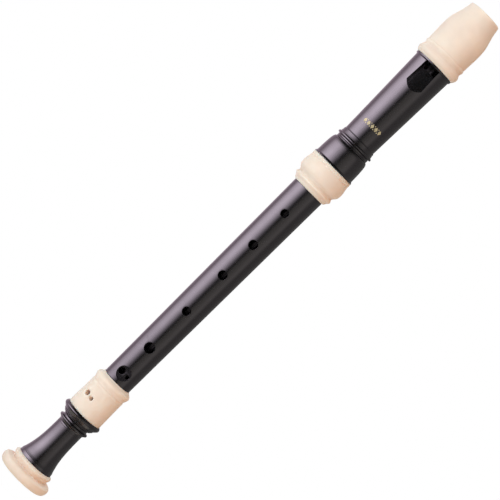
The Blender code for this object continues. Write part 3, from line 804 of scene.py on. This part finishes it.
def add_node(tree, kind, inputs=None, **settings):
    """Node with its settings, whose inputs are values or the outputs that feed them."""
    node = tree.nodes.new(kind)
    for name, value in settings.items():
        setattr(node, name, value)
    for socket, value in (inputs or {}).items():
        if isinstance(value, bpy.types.NodeSocket):
            tree.links.new(value, node.inputs[socket])
        else:
            node.inputs[socket].default_value = value
    return node


def noise(tree, coordinates, scale, detail=2.0):
    inputs = {"Vector": coordinates, "Scale": scale, "Detail": detail}
    return add_node(tree, "ShaderNodeTexNoise", inputs).outputs["Fac"]


def ramp(tree, value, low, high, start, end):
    """Value that goes smoothly from start to end while its input goes from low to high."""
    inputs = {"Value": value, "From Min": low, "From Max": high, "To Min": start, "To Max": end}
    return add_node(tree, "ShaderNodeMapRange", inputs, interpolation_type="SMOOTHSTEP").outputs["Result"]


def combine(tree, operation, first, second):
    return add_node(tree, "ShaderNodeMath", {0: first, 1: second}, operation=operation).outputs[0]


def mix_colours(tree, factor, first, second):
    node = add_node(tree, "ShaderNodeMix", data_type="RGBA")
    for socket, value in zip((node.inputs[0], node.inputs[6], node.inputs[7]), (factor, first, second)):
        if isinstance(value, bpy.types.NodeSocket):
            tree.links.new(value, socket)
        else:
            socket.default_value = value
    return node.outputs[2]


def tinted(colour, share):
    return (*(channel * share for channel in colour), 1.0)


def moulded_plastic(name, colour, worn, groove_shade, roughness):
    """Satin plastic with faint clouds, marks of turning and handling, worn edges, and painted shade that darkens its
    grooves.
    """
    material = bpy.data.materials.new(name)
    material.use_nodes = True
    tree = material.node_tree
    shader = tree.nodes["Principled BSDF"]
    place = add_node(tree, "ShaderNodeTexCoord").outputs["Object"]
    around_axis = add_node(tree, "ShaderNodeMapping", {"Vector": place, "Scale": (0.02, 0.02, 1.0)}).outputs[0]
    along_axis = add_node(tree, "ShaderNodeMapping", {"Vector": place, "Scale": (1.0, 1.0, 0.03)}).outputs[0]
    pointed = add_node(tree, "ShaderNodeNewGeometry").outputs["Pointiness"]

    clouds = ramp(tree, noise(tree, place, 90.0, 3.0), 0.3, 0.7, 0.0, 1.0)
    body = mix_colours(tree, clouds, tinted(colour, 0.96), tinted(colour, 1.04))
    # Painted shade: where pointiness is low, in grooves and hollows, the colour is darkened towards the groove shade
    # colour.
    grooves = ramp(tree, pointed, 0.40, 0.485, 0.55, 0.0)
    body = mix_colours(tree, grooves, body, (*groove_shade, 1.0))
    edges = ramp(tree, pointed, 0.53, 0.60, 0.0, 1.0)
    patchy = combine(tree, "MULTIPLY", edges, ramp(tree, noise(tree, place, 400.0), 0.35, 0.65, 0.15, 0.6))
    body = mix_colours(tree, patchy, body, (*worn, 1.0))
    tree.links.new(body, shader.inputs["Base Color"])

    smudges = ramp(tree, noise(tree, place, 160.0, 4.0), 0.3, 0.7, roughness * 0.9, roughness * 1.12)
    rubs = ramp(tree, noise(tree, along_axis, 2400.0), 0.55, 0.75, 0.0, 0.06)
    tree.links.new(combine(tree, "ADD", smudges, rubs), shader.inputs["Roughness"])

    peel = noise(tree, place, 1600.0, 1.0)
    turning = noise(tree, around_axis, 5000.0, 1.0)
    relief = combine(tree, "ADD", peel, combine(tree, "MULTIPLY", turning, 0.6))
    bump = add_node(tree, "ShaderNodeBump", {"Strength": 0.25, "Distance": 0.00002, "Height": relief})
    tree.links.new(bump.outputs["Normal"], shader.inputs["Normal"])
    return material


def make_dark_plastic():
    # The third colour is the painted shade of the grooves.
    base, worn, groove_shade = (0.0060, 0.0051, 0.0048), (0.042, 0.035, 0.036), (0.004, 0.0033, 0.0033)
    material = moulded_plastic("dark_plastic", base, worn, groove_shade, 0.2)
    shader = material.node_tree.nodes["Principled BSDF"]
    shader.inputs["Specular IOR Level"].default_value = 1.0
    shader.inputs["Specular Tint"].default_value = (1.0, 0.9, 1.0, 1.0)
    return material


def make_cream_plastic():
    # The third colour is the painted shade of the grooves.
    base, worn, groove_shade = (0.90, 0.675, 0.54), (0.91, 0.70, 0.57), (0.89, 0.65, 0.515)
    material = moulded_plastic("cream_plastic", base, worn, groove_shade, 0.5)
    shader = material.node_tree.nodes["Principled BSDF"]
    shader.inputs["Specular IOR Level"].default_value = 0.15
    shader.inputs["Subsurface Weight"].default_value = 0.7
    shader.inputs["Subsurface Radius"].default_value = (1.0, 0.85, 0.78)
    shader.inputs["Subsurface Scale"].default_value = 0.0022
    return material


def make_gold_print():
    """Gilt print, thin and rubbed in places."""
    material = bpy.data.materials.new("gold_print")
    material.use_nodes = True
    tree = material.node_tree
    shader = tree.nodes["Principled BSDF"]
    place = add_node(tree, "ShaderNodeTexCoord").outputs["Object"]
    rubbed = ramp(tree, noise(tree, place, 900.0, 4.0), 0.4, 0.75, 0.0, 0.7)
    body = mix_colours(tree, rubbed, (0.52, 0.40, 0.22, 1.0), (0.24, 0.18, 0.11, 1.0))
    tree.links.new(body, shader.inputs["Base Color"])
    tree.links.new(ramp(tree, noise(tree, place, 2500.0), 0.3, 0.7, 0.36, 0.5), shader.inputs["Roughness"])
    grain = noise(tree, place, 6000.0, 1.0)
    bump = add_node(tree, "ShaderNodeBump", {"Strength": 0.2, "Distance": 0.00001, "Height": grain})
    tree.links.new(bump.outputs["Normal"], shader.inputs["Normal"])
    shader.inputs["Metallic"].default_value = 0.2
    return material


# Stage

CAMERA_AZIMUTH = math.radians(3.0)
HIGH_COLOUR = (0.7, 0.9, 1.0)
HIGH = 0.6
AMBIENT_COLOUR = (1.0, 0.72, 0.505, 1.0)
AMBIENT = 0.47
FILL = 0.31
KEY_COLOUR = (0.34, 0.74, 1.0, 1.0)
KEY = 1.47
BACK_COLOUR = (0.52, 0.83, 1.0, 1.0)
BACK = 1.1
SHINE_COLOUR = (0.99, 0.94, 1.0, 1.0)
SHINE = 5.8
SWEEP_COLOUR = (1.0, 0.80, 0.94, 1.0)
SWEEP = 0.86
DIM_COLOUR = (1.0, 1.0, 0.96, 1.0)
DIM = 0.25
FRONT_COLOUR = (1.0, 1.0, 0.87, 1.0)
FRONT = 0.38


def make_camera():
    """Camera before the instrument, rolled so that the head points to the upper right."""
    scene = bpy.context.scene
    distance = 1.1
    axis_angle = math.radians(44.8)
    across = Vector((math.cos(CAMERA_AZIMUTH), math.sin(CAMERA_AZIMUTH), 0.0))
    target = Vector((0.0, 0.0, 0.1619)) + 0.00022 * across
    place = Vector((math.sin(CAMERA_AZIMUTH) * distance, -math.cos(CAMERA_AZIMUTH) * distance, 0.211))
    ahead = (target - place).normalized()
    right = ahead.cross(Vector((0.0, 0.0, 1.0))).normalized()
    up = right.cross(ahead)
    image_right = up * math.cos(axis_angle) + right * math.sin(axis_angle)
    image_up = up * math.sin(axis_angle) - right * math.cos(axis_angle)
    data = bpy.data.cameras.new("camera")
    data.sensor_width = 36.0
    data.lens = 36.0 * (target - place).length / 0.2497
    camera = bpy.data.objects.new("camera", data)
    turn = Matrix((image_right, image_up, -ahead)).transposed()
    camera.matrix_world = Matrix.Translation(place) @ turn.to_4x4()
    scene.collection.objects.link(camera)
    scene.camera = camera


def bearing(degrees, elevation=0.0):
    """Direction from the instrument, in degrees to the right of the camera's and above the horizon."""
    turn = CAMERA_AZIMUTH + math.radians(degrees)
    rise = math.radians(elevation)
    level = Vector((math.sin(turn), -math.cos(turn), 0.0))
    return level * math.cos(rise) + Vector((0.0, 0.0, math.sin(rise)))


def make_softbox(name, towards, distance, size, colour, radiance):
    """Rectangular lamp that faces the middle of the instrument, with the radiance of its face."""
    data = bpy.data.lights.new(name, "AREA")
    data.shape = "RECTANGLE"
    data.size, data.size_y = size
    data.color = colour
    data.energy = radiance * math.pi * size[0] * size[1]
    lamp = bpy.data.objects.new(name, data)
    lamp.location = Vector((0.0, 0.0, 0.16)) + towards * distance
    lamp.rotation_euler = towards.to_track_quat("Z", "Y").to_euler()
    lamp.visible_camera = False
    lamp.visible_glossy = False
    bpy.context.scene.collection.objects.link(lamp)
    return lamp


def make_lights():
    """Small high fill in front."""
    make_softbox("high_fill", bearing(-35.0, 52.0), 0.9, (0.9, 0.5), HIGH_COLOUR, HIGH)


def glow(tree, towards, full, faint, colour, strength, tall=1.0, span=None):
    """Patch of light in a world, which fades between two angles from its middle, given in degrees.

    A tall patch is stretched up and down. A span is the lowest and the highest rise at which it has faded out.
    """
    direction = add_node(tree, "ShaderNodeTexCoord").outputs["Generated"]
    squeeze = Vector((1.0, 1.0, 1.0 / tall))
    squeezed = add_node(tree, "ShaderNodeVectorMath", {0: direction, 1: squeeze}, operation="MULTIPLY")
    unit = add_node(tree, "ShaderNodeVectorMath", {0: squeezed.outputs[0]}, operation="NORMALIZE")
    middle = (towards * squeeze).normalized()
    facing = add_node(tree, "ShaderNodeVectorMath", {0: unit.outputs[0], 1: middle}, operation="DOT_PRODUCT")
    angle = add_node(tree, "ShaderNodeMath", {0: facing.outputs["Value"]}, operation="ARCCOSINE").outputs[0]
    level = ramp(tree, angle, math.radians(full), math.radians(faint), strength, 0.0)
    if span:
        rise = add_node(tree, "ShaderNodeSeparateXYZ", {"Vector": direction}).outputs["Z"]
        for limit in span:
            level = combine(tree, "MULTIPLY", level, ramp(tree, rise, *sorted((limit, 0.0)), limit > 0, limit < 0))
    return add_node(tree, "ShaderNodeBackground", {"Color": colour, "Strength": level}).outputs[0]


def add_light(tree, *sources):
    total = sources[0]
    for source in sources[1:]:
        total = add_node(tree, "ShaderNodeAddShader", {0: total, 1: source}).outputs[0]
    return total


def make_world():
    """White to the camera; the object sees a pale room, a softbox on the left and a white sweep behind."""
    world = bpy.data.worlds.new("studio")
    bpy.context.scene.world = world
    world.use_nodes = True
    world.cycles.sampling_method = "NONE"
    tree = world.node_tree
    path = add_node(tree, "ShaderNodeLightPath").outputs
    room = add_node(tree, "ShaderNodeBackground", {"Color": AMBIENT_COLOUR, "Strength": AMBIENT}).outputs[0]
    fill = glow(tree, bearing(-5.0), 20.0, 110.0, AMBIENT_COLOUR, FILL)
    key = glow(tree, bearing(-30.0, 10.0), 19.0, 56.0, KEY_COLOUR, KEY, 7.0)
    back = glow(tree, bearing(180.0), 32.0, 81.0, BACK_COLOUR, BACK, 3.0)
    softbox = glow(tree, bearing(-62.0, 8.0), 0.0, 60.0, SHINE_COLOUR, SHINE, 1.6, (-0.42, 0.75))
    sweep = glow(tree, bearing(-132.0), 34.0, 65.0, SWEEP_COLOUR, SWEEP)
    dim_side = glow(tree, bearing(100.0), 44.0, 86.0, DIM_COLOUR, DIM)
    front = glow(tree, bearing(33.0, -14.0), 16.0, 42.0, FRONT_COLOUR, FRONT, 1.8)
    shading = add_light(tree, room, fill, key, back)
    mirrored = add_light(tree, softbox, sweep, dim_side, front)
    seen = add_node(tree, "ShaderNodeMixShader", {0: path["Is Glossy Ray"], 1: shading, 2: mirrored}).outputs[0]
    white = add_node(tree, "ShaderNodeBackground", {"Color": (1.0, 1.0, 1.0, 1.0), "Strength": 1.0}).outputs[0]
    direct = combine(tree, "MAXIMUM", path["Is Camera Ray"], path["Is Transmission Ray"])
    mix = add_node(tree, "ShaderNodeMixShader", {0: direct, 1: seen, 2: white})
    tree.links.new(mix.outputs[0], tree.nodes["World Output"].inputs["Surface"])


def make_floor():
    """Round pale floor, low enough for the foot to be drawn off, that shows white with a faint shadow."""
    height = -0.021
    radius = 0.05
    bm = bmesh.new()
    bmesh.ops.create_circle(bm, cap_ends=True, segments=96, radius=radius)
    mesh = bpy.data.meshes.new("floor")
    bm.to_mesh(mesh)
    bm.free()
    floor = bpy.data.objects.new("floor", mesh)
    floor.location.z = height
    bpy.context.scene.collection.objects.link(floor)
    material = bpy.data.materials.new("floor")
    material.use_nodes = True
    tree = material.node_tree
    shader = tree.nodes["Principled BSDF"]
    shader.inputs["Base Color"].default_value = (0.80, 0.72, 0.62, 1.0)
    shader.inputs["Roughness"].default_value = 1.0
    shader.inputs["Specular IOR Level"].default_value = 0.0
    shader.inputs["Emission Color"].default_value = (1.0, 1.0, 1.0, 1.0)
    path = add_node(tree, "ShaderNodeLightPath").outputs
    seen = combine(tree, "MAXIMUM", path["Is Camera Ray"], path["Is Transmission Ray"])
    tree.links.new(combine(tree, "MULTIPLY", seen, 0.65), shader.inputs["Emission Strength"])
    mesh.materials.append(material)


def main():
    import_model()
    dark = make_dark_plastic()
    cream = make_cream_plastic()
    beak, block = make_mouthpiece()
    dressed = (
        (make_bell_ring(), "foot_carrier", "cream_plastic", cream),
        (make_foot_body(), "foot_joint", "dark_plastic", dark),
        (make_foot_socket(), "foot_joint", "cream_plastic", cream),
        (make_middle_body(), "middle_joint", "dark_plastic", dark),
        (make_head_ring(), "head_carrier", "cream_plastic", cream),
        (make_head_body(), "head_joint", "dark_plastic", dark),
        (beak, "head_joint", "cream_plastic", cream),
        (block, "head_joint", "cream_plastic", cream),
    )
    for piece, body, slot, material in dressed:
        node = piece.name.split(".")[0]
        piece.name = node + "_fine"
        piece.data.materials.clear()
        piece.data.materials.append(material)
        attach(piece, body)
        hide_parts(node)
    ornament = make_ornament()
    ornament.data.materials.append(make_gold_print())
    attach(ornament, "head_joint")
    make_camera()
    make_lights()
    make_world()
    make_floor()
    bpy.context.scene.view_settings.view_transform = "Standard"


main()
